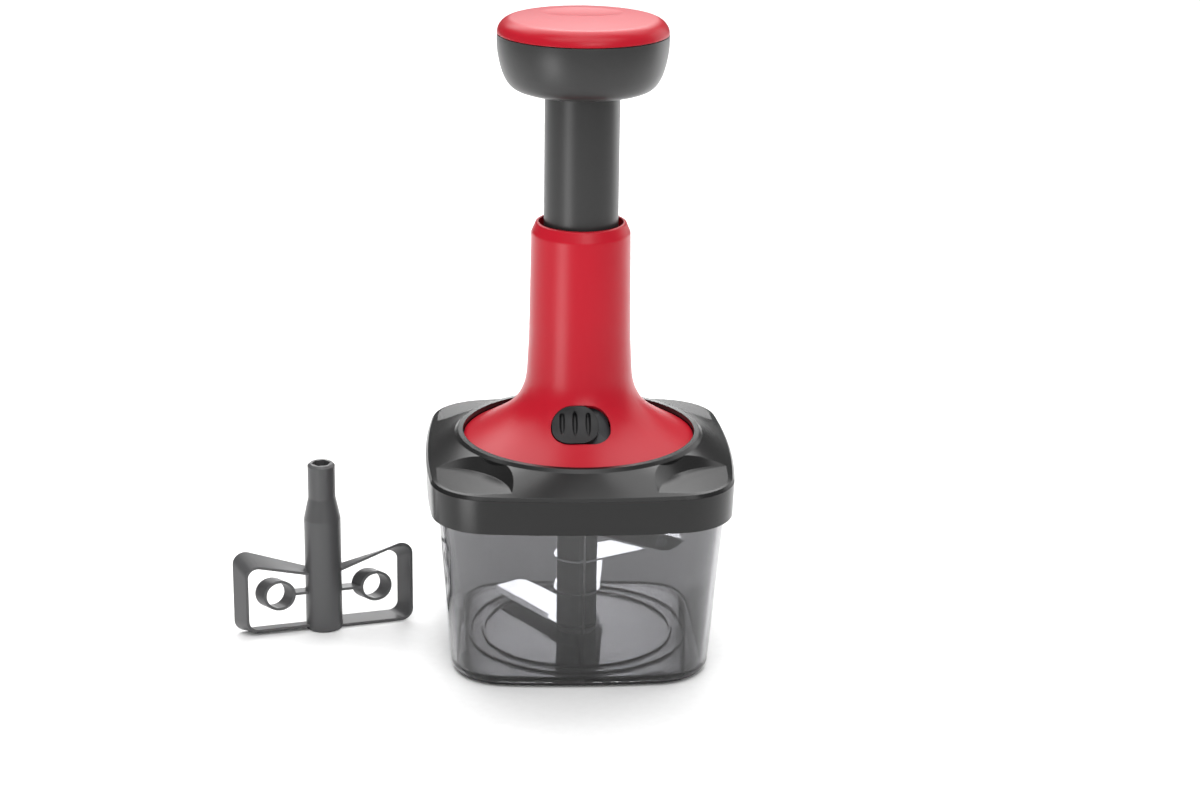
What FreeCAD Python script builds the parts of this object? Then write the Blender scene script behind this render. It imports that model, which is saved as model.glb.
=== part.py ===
import FreeCAD, Part
import math
import os

from FreeCAD import Matrix, Vector

# Hand-pushed food chopper with its loose mixing paddle.
# Millimetres, +Z up, z = 0 under the bowl, the chopper's own axis on Z,
# the lock button on the front (-Y) side.

os.makedirs("parts", exist_ok=True)

# ---- shared small sizes -------------------------------------------------
TINY = 0.05               # slip fit between two pieces of one body
RUNNING = 0.06            # radial running clearance between moving pieces
SCREW_R = 1.4             # shank of every small screw
SCREW_HEAD_R = 2.7
SCREW_HEAD_H = 1.7

# ---- bowl ---------------------------------------------------------------
SIDE_BULGE_R = 380.0      # the four sides bow out on this radius
BOWL_BASE_HALF = 57.6     # half width at the table
BOWL_RIM_HALF = 64.3      # half width at the rim
BOWL_RIM_Z = 84.0
BOWL_WALL = 2.3
BOWL_FLOOR = 3.4
BOWL_CORNER = 25.0
BOWL_FOOT_ROUND = 4.0     # outside round where wall meets floor
FOOT_H = 1.8              # dark grip band let into the bottom edge
FOOT_W = 4.5
FLOOR_RIB_R = (42.5, 49.5)
FLOOR_RIB_W = 2.6
FLOOR_RIB_H = 1.2
PIN_R = 2.5               # steel pivot pin in the middle of the floor
PIN_TOP_Z = 14.0
PIN_BOSS_R = 5.2
PIN_BOSS_H = 2.0

# ---- blade unit ---------------------------------------------------------
SHAFT_GAP = 0.4           # blade unit floats this far above the floor
CORE_R = 6.0
CORE_TOP_Z = BOWL_RIM_Z - 7.5
HUB_R = 8.95
BLADE_COUNT = 4
BLADE_FIRST_Z = 7.75      # middle of the lowest blade
BLADE_PITCH = 15.87
BLADE_T = 0.9
BLADE_RING_R = 10.4
BLADE_LENGTH = 52.6       # from the axis to the tip
BLADE_TIP_HALF = 9.0
BLADE_TIP_ROUND = 4.0
BLADE_BEVEL = 3.2         # width of the ground cutting edge
BLADE_AZIMUTHS = (125.5, 83.0, 27.0, -36.4)   # lowest blade first
KEYWAY_AZIMUTH = -77.0    # groove down the outside of the hub
KEYWAY_W = 2.8
KEYWAY_DEPTH = 1.3
KEY_W = 2.4               # rib that stops the blades turning on the core
KEY_H = 1.0
HUB_NUT_CYL_H = 5.0
HUB_NUT_TAPER_H = 9.0
HUB_NUT_TOP_R = 6.8
BUSH_R = 4.0
BUSH_H = 9.0
HEX_AF = 7.0              # drive bit, across flats
HEX_FIT = 0.3
HEX_DEPTH = 16.0

# ---- lid ----------------------------------------------------------------
LID_BOTTOM_Z = BOWL_RIM_Z - 9.7
LID_BOTTOM_HALF = BOWL_RIM_HALF + 2.7
LID_EDGE_Z = BOWL_RIM_Z + 5.4
LID_EDGE_HALF = BOWL_RIM_HALF + 3.2
LID_SHOULDER_Z = LID_EDGE_Z + 1.4
LID_SHOULDER_HALF = LID_EDGE_HALF - 1.0
LID_CORNER = BOWL_CORNER + 1.0
LID_WALL = 2.2
RING_R = 54.8             # foot of the raised ring round the housing
RING_FOOT_Z = LID_SHOULDER_Z + 6.8
RING_TOP_R = RING_R - 1.5
RING_TOP_Z = RING_FOOT_Z + 1.4
DECK_TOP_Z = RING_TOP_Z - 3.8   # floor of the recess the housing stands in
DECK_T = 2.4
CAVITY_TOP_R = RING_R - 3.8
SEAT_Z = BOWL_RIM_Z + 2.4   # underside that the seal and cover plate meet
SEAL_T = 2.3
WELL_R = 15.2             # round well under the housing, holds the spring
WELL_WALL = 2.2
WELL_FLOOR_TOP_Z = SEAT_Z - 3.5
WELL_FLOOR_T = 2.4
JOURNAL_R = 4.95
COVER_GAP = 0.8           # cover plate's edge to the bowl's inside
COVER_HALF = BOWL_RIM_HALF - BOWL_WALL - COVER_GAP
COVER_T = 2.2
PLUG_HALF = COVER_HALF - 0.3
PLUG_WALL = 2.0
PLUG_DEPTH = 5.8
COVER_SCREW_AT = 41.0     # x and y of the four cover screws
COVER_BOSS_R = 3.6
SCOOP_CENTRE = RING_R + 11.4   # x and y of the corner finger scoops' middle
SCOOP_R = 35.6            # radius of the scoop's floor
SCOOP_WALL_LEAN = 45.0    # degrees from upright
SCOOP_FLOOR_Z = LID_SHOULDER_Z + 1.6      # floor height under the scoop's inner edge
SCOOP_TILT = 3.5          # degrees the floor falls outwards
SCOOP_DEPTH = 9.0

# ---- housing ------------------------------------------------------------
HOUSING_WALL = 2.4
COLLAR_TOP_Z = DECK_TOP_Z + 98.0
COLLAR_OPENING_R = 18.3
COLLAR_LIP = 1.2          # flat top of the collar before its bevel
COLLAR_ROUND = 2.4        # softens the bevel's lower edge
LIP_ROUND = 0.8
COLLAR_R = 21.5
COLLAR_BEVEL_Z = COLLAR_TOP_Z - 4.6
SLEEVE_BORE_R = 19.3
BORE_TOP_Z = COLLAR_TOP_Z - 7.2
# flare from the straight sleeve to the wide skirt, radius and height over the deck
FLARE_OVER_DECK = ((22.1, 50.8), (22.8, 34.8), (23.6, 26.8), (25.2, 21.8), (28.3, 16.6),
                   (34.0, 11.3), (42.0, 6.2), (50.6, 1.4))
FLARE = [(r, DECK_TOP_Z + height) for r, height in FLARE_OVER_DECK]
POST_AT = 24.0            # x and y of the four screw posts
POST_BITE = 6.0           # how far a screw bites into its post
POST_R = 4.0
KEY_RIB_W = 2.8           # ribs that stop the plunger turning
KEY_RIB_R = 17.6

# ---- plunger ------------------------------------------------------------
STROKE = 50.0
TUBE_R = 16.1
TUBE_WALL = 1.9
TUBE_BOTTOM_Z = DECK_TOP_Z + 54.8
TUBE_TOP_Z = TUBE_BOTTOM_Z + 114.0
GUIDE_BOTTOM_Z = TUBE_BOTTOM_Z + 0.4
TUBE_WEB = 3.0
NUT_H = 10.0
NUT_FLANGE_R = 18.7
NUT_FLANGE_H = 3.4
NUT_PIN_R = 1.0
KNOB_SEAM_Z = TUBE_TOP_Z + 10.4
KNOB_SEAM_R = 36.4
# underside of the knob from the tube out to the seam, inset from the seam and depth below it
KNOB_UNDER_SEAM = ((17.9, 24.2), (12.4, 24.1), (8.8, 23.5), (5.8, 21.9), (3.9, 19.6), (2.6, 17.0),
                   (1.3, 13.0), (0.3, 8.0), (0.0, 0.0))
KNOB_BOWL = [(KNOB_SEAM_R - inset, KNOB_SEAM_Z - depth) for inset, depth in KNOB_UNDER_SEAM]
KNOB_WALL = 2.4
KNOB_SOCKET_R = 19.0
CAP_GAP = 0.35            # shadow line between cap and knob
CAP_RISE = 6.6            # cap rim above the seam
CAP_CROWN = 0.8           # the middle stands this much higher
CAP_RIM_INSET = 5.9
# rolled edge of the cap, inset from the seam and height over the shadow line
CAP_ROLL = ((0.0, 0.0), (0.35, 2.0), (1.8, 4.3), (3.6, 5.6))
CAP_PLUG_H = 4.0          # ring under the cap that plugs into the knob
CAP_PLUG_T = 1.6
CAP_PLUG_GAP = 0.6
CAP_T = 2.0
DISH_AT_Y = 13.5          # shallow oval dish in the top of the cap
DISH_RX = 21.0
DISH_RY = 13.5
DISH_DEPTH = 0.8

# ---- drive --------------------------------------------------------------
LEAD = 50.0               # plunger travel for one turn of the rod
ROD_TIP_R = 6.2           # crests of the four-start spiral
ROD_ROOT_R = 4.4
ROD_STARTS = 4
ROD_IN_TUBE = 18.0        # how far the rod reaches into the tube at rest
ROD_TOP_Z = TUBE_BOTTOM_Z + ROD_IN_TUBE
ROD_FLANGE_R = 8.6
ROD_FLANGE_H = 2.5
THREAD_FIT = 0.2
WASHER_R = 8.8
WASHER_T = 0.8
ROD_CAP_R = 13.9
ROD_CAP_H = 4.0
BIT_FLANGE_R = 8.5
BIT_FLANGE_H = 2.4
BIT_BOTTOM_Z = CORE_TOP_Z - 14.0
SPRING_R = 11.9           # to the middle of the wire
SPRING_WIRE_R = 0.6
SPRING_COILS = 7           # open coils between the two closed ends
SPRING_SEAT_T = 1.0

# ---- lock button --------------------------------------------------------
WINDOW_Y = -30.2          # middle of the window on the flare
WINDOW_Z = DECK_TOP_Z + 15.2
WINDOW_LEAN = 48.6        # degrees that the window's plane leans back
WINDOW_LOW_X = -13.3
WINDOW_HIGH_X = 12.4
WINDOW_H = 18.0
WINDOW_REACH = 9.0        # the cut goes this far in and out of the leaning plane
WINDOW_ROUND = 8.2
LOCK_TRAVEL = 5.0
LOCK_FIT = 0.3
LOCK_PROUD = 0.7          # button stands this far above the flare
LOCK_BACK_DEPTH = 3.4     # recess from the flare to the plate behind
LOCK_BACK_T = 1.6
LOCK_BACK_LAP = 6.0
LOCK_STEM_LEFT = -7.5      # the stem stands left of the middle, so the button hides its slot
LOCK_STEM_RIGHT = 0.5
LOCK_STEM_T = 6.0
LEG_FRONT_Y = -26.5       # leg from the stem down to the yoke
LEG_BACK_Y = -20.4
GROOVE_X = (-8.4, -3.0, 2.6)
GROOVE_R = 1.25
GROOVE_HALF_LENGTHS = (5.2, 6.6, 5.2)
BOLT_T = 1.4
BOLT_OUT_R = 25.0
BOLT_RIGHT = 4.0          # how far the yoke reaches to the right of the middle
BOLT_SCREW_X = -3.5
BOLT_SCREW_Y = -23.6
BOLT_LIFT = 0.6           # above the nut's flange when pushed down

# ---- mixing paddle ------------------------------------------------------
PADDLE_X = -114.3
PADDLE_Y = 12.5
PADDLE_YAW = 14.0         # degrees, left arm towards the front
PADDLE_H = 78.7
PADDLE_R = 8.25
PADDLE_NECK_R = 6.15
PADDLE_NECK_H = 16.0
PADDLE_TAPER_H = 10.0
PADDLE_RIM = 1.0          # chamfer round the mouth of the neck
PADDLE_REACH = 38.3       # axis to the middle of the outer strip
PADDLE_STRIP = 1.2        # thickness of the moulded strips
PADDLE_DEPTH = 7.4
PADDLE_SLANT = 31.0       # degrees the strips lie across the arm
PADDLE_OUTER_H = 37.4     # loop height at the outer strip, halfway through its depth
PADDLE_OUTER_TILT = 4.5   # the leading edge stands this much higher
PADDLE_ROOT_H = 28.5
PADDLE_ROOT_TILT = 0.8
PADDLE_FOOT_TILT = 1.5    # the trailing edge clears the table by this much
PADDLE_ROUND = 5.5
RING_AT = 22.1
RING_AT_Z = 17.8
RING_OUT_R = 7.2
RING_WALL = 1.2
RING_DEPTH = 5.3


def save(name, shape):
    shape.exportStep("parts/%s.step" % name)


def cylinder(radius, low, high, x=0.0, y=0.0):
    return Part.makeCylinder(radius, high - low, Vector(x, y, low))


def tube(outer, inner, low, high):
    return cylinder(outer, low, high).cut(cylinder(inner, low - 1, high + 1))


def block(x0, x1, y0, y1, z0, z1):
    return Part.makeBox(x1 - x0, y1 - y0, z1 - z0, Vector(x0, y0, z0))


def turned(shape, degrees, x=0.0, y=0.0):
    copy = shape.copy()
    copy.rotate(Vector(x, y, 0), Vector(0, 0, 1), degrees)
    return copy


def corner_points(x, y):
    return [(x, y), (-x, y), (-x, -y), (x, -y)]


def revolve_wire(edges):
    face = Part.Face(Part.Wire(edges))
    return face.revolve(Vector(0, 0, 0), Vector(0, 0, 1), 360)


def line(a, b):
    return Part.makeLine(Vector(a[0], 0, a[1]), Vector(b[0], 0, b[1]))


def curve(points, start_from=None):
    """Spline through the points; start_from is a point whose straight line it carries on."""
    way = [Vector(r, 0, z) for r, z in points]
    spline = Part.BSplineCurve()
    if start_from:
        spline.interpolate(way, InitialTangent=way[0] - Vector(start_from[0], 0, start_from[1]),
                           FinalTangent=way[-1] - way[-2])
    else:
        spline.interpolate(way)
    return spline.toShape()


def revolve_points(points):
    loop = list(points) + [points[0]]
    return revolve_wire([line(a, b) for a, b in zip(loop, loop[1:])])


def side_turn(half, corner):
    """Where a bowed side meets its corner arc: corner centre and tangent point."""
    back = SIDE_BULGE_R - half
    reach = SIDE_BULGE_R - corner
    centre = (math.sqrt(2 * reach ** 2 - back ** 2) - back) / 2
    touch_x = SIDE_BULGE_R * (centre + back) / reach - back
    touch_y = SIDE_BULGE_R * centre / reach
    return centre, touch_x, touch_y


def quarter_loop(first_pair, z):
    """Closed wire from one side arc and one corner arc, repeated four times."""
    edges = []
    for quarter in range(4):
        turn = FreeCAD.Rotation(Vector(0, 0, 1), 90 * quarter)
        for trio in first_pair:
            a, b, c = [turn.multVec(Vector(x, y, z)) for x, y in trio]
            edges.append(Part.Arc(a, b, c).toShape())
    return Part.Wire(edges)


def rounded_square(half, corner, z):
    centre, tx, ty = side_turn(half, corner)
    mid = centre + corner / math.sqrt(2)
    return quarter_loop([[(tx, -ty), (half, 0), (tx, ty)], [(tx, ty), (mid, mid), (ty, tx)]], z)


def split_circle(radius, z, half, corner):
    """Circle with the same eight pieces as the rounded square it is lofted to."""
    centre, tx, ty = side_turn(half, corner)
    a = math.atan2(ty, tx)
    px, py = radius * math.cos(a), radius * math.sin(a)
    mid = radius / math.sqrt(2)
    return quarter_loop([[(px, -py), (radius, 0), (px, py)], [(px, py), (mid, mid), (py, px)]], z)


def loft(wires, ruled=True):
    return Part.makeLoft(wires, True, ruled)


def rounded_block(half, corner, low, high):
    return loft([rounded_square(half, corner, low), rounded_square(half, corner, high)])


def edges_at(shape, z):
    return [e for e in shape.Edges if abs(e.BoundBox.ZMin - z) < 0.01 and abs(e.BoundBox.ZMax - z) < 0.01]


def offset_profile(points, distance):
    """Move each point of a radius-height outline towards the axis side."""
    out = []
    for i, (r, z) in enumerate(points):
        r0, z0 = points[max(i - 1, 0)]
        r1, z1 = points[min(i + 1, len(points) - 1)]
        length = math.hypot(r1 - r0, z1 - z0)
        nr, nz = (z1 - z0) / length, -(r1 - r0) / length
        out.append((r + nr * distance, z + nz * distance))
    return out


def screw(x, y, seat_z, length, up=True):
    """Pan-head screw whose head sits against seat_z."""
    step = 1 if up else -1
    low, high = sorted((seat_z, seat_z + step * length))
    shank = cylinder(SCREW_R, low, high, x, y)
    low, high = sorted((seat_z, seat_z - step * SCREW_HEAD_H))
    head = cylinder(SCREW_HEAD_R, low, high, x, y)
    slot_z = low if up else high
    cross = block(x - 1.8, x + 1.8, y - 0.35, y + 0.35, slot_z - 0.8, slot_z + 0.8)
    return shank.fuse(head.cut(cross).cut(turned(cross, 90, x, y)))


# ---- bowl body ----------------------------------------------------------
def bowl_half(z):
    return BOWL_BASE_HALF + (BOWL_RIM_HALF - BOWL_BASE_HALF) * z / BOWL_RIM_Z


def bowl_outside():
    solid = loft([rounded_square(BOWL_BASE_HALF, BOWL_CORNER, 0),
                  rounded_square(BOWL_RIM_HALF, BOWL_CORNER, BOWL_RIM_Z)])
    return solid.makeFillet(BOWL_FOOT_ROUND, edges_at(solid, 0))


def foot_band_blank():
    half = BOWL_BASE_HALF - BOWL_FOOT_ROUND / 2 - FOOT_W
    inside = rounded_block(half, BOWL_CORNER - FOOT_W, -1, FOOT_H + 1)
    reach = 2 * BOWL_BASE_HALF
    slab = block(-reach, reach, -reach, reach, -0.5, FOOT_H)
    return slab.cut(inside)


def make_bowl():
    inner_corner = BOWL_CORNER - BOWL_WALL
    high = BOWL_RIM_Z + 1
    hollow = loft([rounded_square(bowl_half(BOWL_FLOOR) - BOWL_WALL, inner_corner, BOWL_FLOOR),
                   rounded_square(bowl_half(high) - BOWL_WALL, inner_corner, high)])
    hollow = hollow.makeFillet(BOWL_FOOT_ROUND - BOWL_WALL, edges_at(hollow, BOWL_FLOOR))
    bowl = bowl_outside().cut(hollow).cut(foot_band_blank())
    for radius in FLOOR_RIB_R:
        half = FLOOR_RIB_W / 2
        bowl = bowl.fuse(revolve_points([(radius - half, BOWL_FLOOR - 0.5), (radius + half, BOWL_FLOOR - 0.5),
                                         (radius + half * 0.5, BOWL_FLOOR + FLOOR_RIB_H),
                                         (radius - half * 0.5, BOWL_FLOOR + FLOOR_RIB_H)]))
    boss_top = BOWL_FLOOR + PIN_BOSS_H
    boss = revolve_points([(0, BOWL_FLOOR - 1), (PIN_BOSS_R, BOWL_FLOOR - 1), (PIN_BOSS_R, boss_top - 0.5),
                           (PIN_BOSS_R - 0.5, boss_top), (0, boss_top)])
    pin_hole = cylinder(PIN_R, BOWL_FLOOR / 2, boss_top + 1)
    return bowl.fuse(boss).cut(pin_hole).removeSplitter()


def make_foot_band():
    return bowl_outside().common(foot_band_blank())


def make_pivot_pin():
    pin = cylinder(PIN_R, BOWL_FLOOR / 2, PIN_TOP_Z)
    return pin.makeChamfer(0.6, edges_at(pin, PIN_TOP_Z))


# ---- blade unit ---------------------------------------------------------
SHAFT_BOTTOM_Z = BOWL_FLOOR + SHAFT_GAP
HUB_NUT_Z = BLADE_FIRST_Z + BLADE_PITCH * (BLADE_COUNT - 1) + BLADE_T / 2


def blade_z(index):
    return BLADE_FIRST_Z + BLADE_PITCH * index


def hexagon(across_flats, low, high):
    radius = across_flats / math.sqrt(3)
    points = [Vector(radius * math.cos(math.radians(60 * k)), radius * math.sin(math.radians(60 * k)), low)
              for k in range(7)]
    return Part.Face(Part.makePolygon(points)).extrude(Vector(0, 0, high - low))


def keyway(radius, low, high):
    """Groove down the outside of the hub."""
    cut = block(radius - KEYWAY_DEPTH, radius + 5, -KEYWAY_W / 2, KEYWAY_W / 2, low, high)
    return turned(cut, KEYWAY_AZIMUTH)


def core_key(grow, low, high):
    rib = block(CORE_R - 1, CORE_R + KEY_H + grow, -KEY_W / 2 - grow, KEY_W / 2 + grow, low, high)
    return turned(rib, KEYWAY_AZIMUTH + 180)


def core_hole(low, high):
    return cylinder(CORE_R + TINY, low, high).fuse(core_key(TINY, low, high))


def make_blade_shaft():
    flange_top = blade_z(0) - BLADE_T / 2
    bush_top = SHAFT_BOTTOM_Z + PIN_BOSS_H + BUSH_H
    core = cylinder(CORE_R, flange_top - 1, CORE_TOP_Z)
    core = core.makeChamfer(0.8, edges_at(core, CORE_TOP_Z))
    flange = cylinder(HUB_R, SHAFT_BOTTOM_Z, flange_top)
    flange = flange.makeChamfer(0.5, edges_at(flange, SHAFT_BOTTOM_Z)).cut(keyway(HUB_R, 0, flange_top + 1))
    shaft = core.fuse(flange).fuse(core_key(0, flange_top - 0.5, HUB_NUT_Z))
    shaft = shaft.cut(cylinder(PIN_BOSS_R + 0.8, SHAFT_BOTTOM_Z - 1, SHAFT_BOTTOM_Z + PIN_BOSS_H))
    shaft = shaft.cut(cylinder(BUSH_R + TINY, SHAFT_BOTTOM_Z, bush_top))
    return shaft.cut(hexagon(HEX_AF + HEX_FIT, CORE_TOP_Z - HEX_DEPTH, CORE_TOP_Z + 1))


def make_shaft_bush():
    low = SHAFT_BOTTOM_Z + PIN_BOSS_H
    return tube(BUSH_R, PIN_R + RUNNING, low, low + BUSH_H)


def make_hub_spacers():
    solids = []
    for index in range(BLADE_COUNT - 1):
        low = blade_z(index) + BLADE_T / 2
        high = blade_z(index + 1) - BLADE_T / 2
        spacer = cylinder(HUB_R, low, high).cut(core_hole(low - 1, high + 1))
        solids.append(spacer.cut(keyway(HUB_R, low - 1, high + 1)))
    return Part.makeCompound(solids)


def make_hub_nut():
    low, knee = HUB_NUT_Z, HUB_NUT_Z + HUB_NUT_CYL_H
    high = knee + HUB_NUT_TAPER_H
    nut = revolve_points([(CORE_R + TINY, low), (HUB_R, low), (HUB_R, knee), (HUB_NUT_TOP_R, high),
                          (CORE_R + TINY, high)])
    return nut.cut(keyway(HUB_R, low - 1, knee))


def make_blade(index):
    """Flat steel blade: a root ring and a strip with rounded tip and ground edge."""
    low, high = blade_z(index) - BLADE_T / 2, blade_z(index) + BLADE_T / 2
    root, tip, end = BLADE_RING_R - 0.1, BLADE_TIP_HALF, BLADE_LENGTH
    outline = [Vector(0, -root, low), Vector(end, -tip, low), Vector(end, tip, low), Vector(0, root, low)]
    strip = Part.Face(Part.makePolygon(outline + outline[:1])).extrude(Vector(0, 0, BLADE_T))
    tips = [e for e in strip.Edges if e.BoundBox.XMin > end - 0.01 and e.BoundBox.YLength < 0.01]
    strip = strip.makeFillet(BLADE_TIP_ROUND, tips)
    lean = math.degrees(math.atan2(root - tip, end))
    grind = Part.makeBox(end * 2, BLADE_BEVEL * 2, BLADE_T * 2, Vector(-end / 2, 0, 0))
    grind.rotate(Vector(0, 0, 0), Vector(1, 0, 0), math.degrees(math.atan2(BLADE_T * 0.8, BLADE_BEVEL)) * -1)
    grind.translate(Vector(0, -BLADE_BEVEL, BLADE_T))
    grind.rotate(Vector(0, 0, 0), Vector(0, 0, 1), -lean)
    grind.translate(Vector(0, root, low))
    guard = cylinder(BLADE_RING_R + 2.5, low - 1, high + 1)
    blade = strip.cut(grind.cut(guard)).fuse(cylinder(BLADE_RING_R, low, high))
    blade = turned(blade, BLADE_AZIMUTHS[index])
    blade = blade.cut(core_hole(low - 1, high + 1)).cut(keyway(BLADE_RING_R, low - 1, high + 1))
    return blade.removeSplitter()


# ---- lid body -----------------------------------------------------------
def lid_outside():
    skirt = loft([rounded_square(LID_BOTTOM_HALF, LID_CORNER, LID_BOTTOM_Z),
                  rounded_square(LID_EDGE_HALF, LID_CORNER, LID_EDGE_Z),
                  rounded_square(LID_SHOULDER_HALF, LID_CORNER - 0.6, LID_SHOULDER_Z)])
    dome = loft([rounded_square(LID_SHOULDER_HALF, LID_CORNER - 0.6, LID_SHOULDER_Z),
                 split_circle(RING_R, RING_FOOT_Z, LID_SHOULDER_HALF, LID_CORNER)])
    body = skirt.fuse(dome)
    for quarter in range(4):
        body = body.cut(turned(scoop(), 90 * quarter))
    ring = Part.makeCone(RING_R, RING_TOP_R, RING_TOP_Z - RING_FOOT_Z, Vector(0, 0, RING_FOOT_Z))
    return body.fuse(cylinder(RING_R, SCOOP_FLOOR_Z, RING_FOOT_Z)).fuse(ring)


def scoop():
    """Dished finger scoop in one corner: a leaning disc with sloped walls."""
    grow = SCOOP_DEPTH * math.tan(math.radians(SCOOP_WALL_LEAN))
    tool = Part.makeCone(SCOOP_R, SCOOP_R + grow, SCOOP_DEPTH)
    tool.rotate(Vector(-SCOOP_R, 0, 0), Vector(0, 1, 0), SCOOP_TILT)
    tool.translate(Vector(SCOOP_CENTRE * math.sqrt(2), 0, SCOOP_FLOOR_Z))
    return turned(tool, 45)


def make_lid():
    lid = lid_outside()
    skirt_in = loft([rounded_square(LID_BOTTOM_HALF - LID_WALL, LID_CORNER - LID_WALL, LID_BOTTOM_Z - 0.5),
                     rounded_square(LID_EDGE_HALF - LID_WALL, LID_CORNER - LID_WALL, SEAT_Z)])
    cavity_top = DECK_TOP_Z - DECK_T
    cavity = loft([rounded_square(COVER_HALF - 1.2, LID_CORNER - 4, SEAT_Z - 0.5),
                   split_circle(CAVITY_TOP_R, cavity_top, LID_SHOULDER_HALF, LID_CORNER)])
    lid = lid.cut(skirt_in).cut(cavity)
    lid = lid.cut(cylinder(housing_skirt_r() + 0.4, DECK_TOP_Z, RING_TOP_Z + 1))
    well_bottom = WELL_FLOOR_TOP_Z - WELL_FLOOR_T
    lid = lid.fuse(cylinder(WELL_R + WELL_WALL, well_bottom, cavity_top + 0.2))
    lid = lid.cut(cylinder(WELL_R, WELL_FLOOR_TOP_Z, DECK_TOP_Z + 1))
    lid = lid.cut(cylinder(JOURNAL_R + RUNNING, well_bottom - 1, WELL_FLOOR_TOP_Z + 1))
    for x, y in corner_points(COVER_SCREW_AT, COVER_SCREW_AT):
        boss = cylinder(COVER_BOSS_R, SEAT_Z, SEAT_Z + 5.5, x, y)
        lid = lid.fuse(boss).cut(cylinder(SCREW_R, SEAT_Z - 1, SEAT_Z + 4.5, x, y))
    for x, y in corner_points(POST_AT, POST_AT):
        lid = lid.cut(cylinder(SCREW_R + TINY, cavity_top - 1, DECK_TOP_Z + 1, x, y))
    return lid.removeSplitter()


def make_seal():
    high, low = SEAT_Z, SEAT_Z - SEAL_T + 0.02
    inner = COVER_HALF + TINY
    outer = LID_EDGE_HALF - LID_WALL - 0.3
    return rounded_block(outer, LID_CORNER - LID_WALL, low, high).cut(
        rounded_block(inner, LID_CORNER - 5, low - 1, high + 1))


def make_lid_cover():
    """Plate that closes the lid, with the plug wall that centres it in the bowl."""
    high, low = SEAT_Z, SEAT_Z - COVER_T
    corner = LID_CORNER - 5
    plate = rounded_block(COVER_HALF, corner, low, high)
    plug = rounded_block(PLUG_HALF, corner, low - PLUG_DEPTH, low).cut(
        rounded_block(PLUG_HALF - PLUG_WALL, corner - PLUG_WALL, low - PLUG_DEPTH - 1, low + 1))
    plate = plate.fuse(plug).cut(cylinder(WELL_R + WELL_WALL + 0.2, low - 1, high + 1))
    for x, y in corner_points(COVER_SCREW_AT, COVER_SCREW_AT):
        plate = plate.cut(cylinder(SCREW_R + 0.2, low - 1, high + 1, x, y))
    return plate.removeSplitter()


def make_cover_screws():
    return Part.makeCompound([screw(x, y, SEAT_Z - COVER_T, COVER_T + 4.2)
                              for x, y in corner_points(COVER_SCREW_AT, COVER_SCREW_AT)])


def housing_skirt_r():
    return FLARE[-1][0]


def housing_outside():
    skirt_r, skirt_z = FLARE[-1]
    top = FLARE[0]
    collar_in = (0, COLLAR_TOP_Z)
    lip = (COLLAR_OPENING_R + COLLAR_LIP, COLLAR_TOP_Z)
    shoulder = (COLLAR_R, COLLAR_BEVEL_Z)
    foot = (skirt_r, DECK_TOP_Z)
    solid = revolve_wire([line((0, DECK_TOP_Z), collar_in), line(collar_in, lip), line(lip, shoulder),
                          line(shoulder, top), curve(FLARE, shoulder), line((skirt_r, skirt_z), foot),
                          line(foot, (0, DECK_TOP_Z))])
    solid = solid.makeFillet(COLLAR_ROUND, edges_at(solid, COLLAR_BEVEL_Z))
    return solid.makeFillet(LIP_ROUND, edges_at(solid, COLLAR_TOP_Z))


def housing_inside(shrink=0.0):
    inner = offset_profile(FLARE, HOUSING_WALL + shrink)[2:-1]
    knee = (inner[0][0], inner[0][1] + 8)
    bore = SLEEVE_BORE_R - shrink
    foot = (inner[-1][0] + 5.5, DECK_TOP_Z - 1)
    corners = [(0, DECK_TOP_Z - 1), (0, BORE_TOP_Z), (bore, BORE_TOP_Z), (bore, knee[1])]
    edges = [line(a, b) for a, b in zip(corners, corners[1:])]
    edges += [line(corners[-1], inner[0]), curve(inner), line(inner[-1], foot), line(foot, corners[0])]
    return revolve_wire(edges)


def window_frame(shape):
    """Place a shape drawn flat at the origin onto the window's leaning plane."""
    copy = shape.copy()
    copy.rotate(Vector(0, 0, 0), Vector(1, 0, 0), WINDOW_LEAN)
    copy.translate(Vector(0, WINDOW_Y, WINDOW_Z))
    return copy


def window_prism(grow, low, high, x0=WINDOW_LOW_X, x1=WINDOW_HIGH_X):
    half = WINDOW_H / 2 + grow
    body = block(x0 - grow, x1 + grow, -half, half, low, high)
    corners = [e for e in body.Edges if e.BoundBox.ZLength > high - low - 0.01]
    return window_frame(body.makeFillet(WINDOW_ROUND + grow, corners))


def make_housing():
    shell = housing_outside().cut(housing_inside())
    shell = shell.cut(cylinder(COLLAR_OPENING_R, BORE_TOP_Z - 1, COLLAR_TOP_Z + 1))
    extras = []
    for x, y in corner_points(POST_AT, POST_AT):
        extras.append(cylinder(POST_R, DECK_TOP_Z, WINDOW_Z, x, y))
    for azimuth in (0, 90):
        rib = block(KEY_RIB_R, FLARE[4][0], -KEY_RIB_W / 2, KEY_RIB_W / 2, DECK_TOP_Z, GUIDE_BOTTOM_Z - 1)
        extras.append(turned(rib, azimuth))
    solid_shape = housing_outside()
    for extra in extras:
        shell = shell.fuse(extra.common(solid_shape))
    for x, y in corner_points(POST_AT, POST_AT):
        shell = shell.cut(cylinder(SCREW_R, DECK_TOP_Z - 1, DECK_TOP_Z + POST_BITE + 0.5, x, y))
    return shell.cut(window_prism(0, -WINDOW_REACH, WINDOW_REACH)).removeSplitter()


def make_housing_screws():
    return Part.makeCompound([screw(x, y, DECK_TOP_Z - DECK_T, DECK_T + POST_BITE)
                              for x, y in corner_points(POST_AT, POST_AT)])


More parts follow.
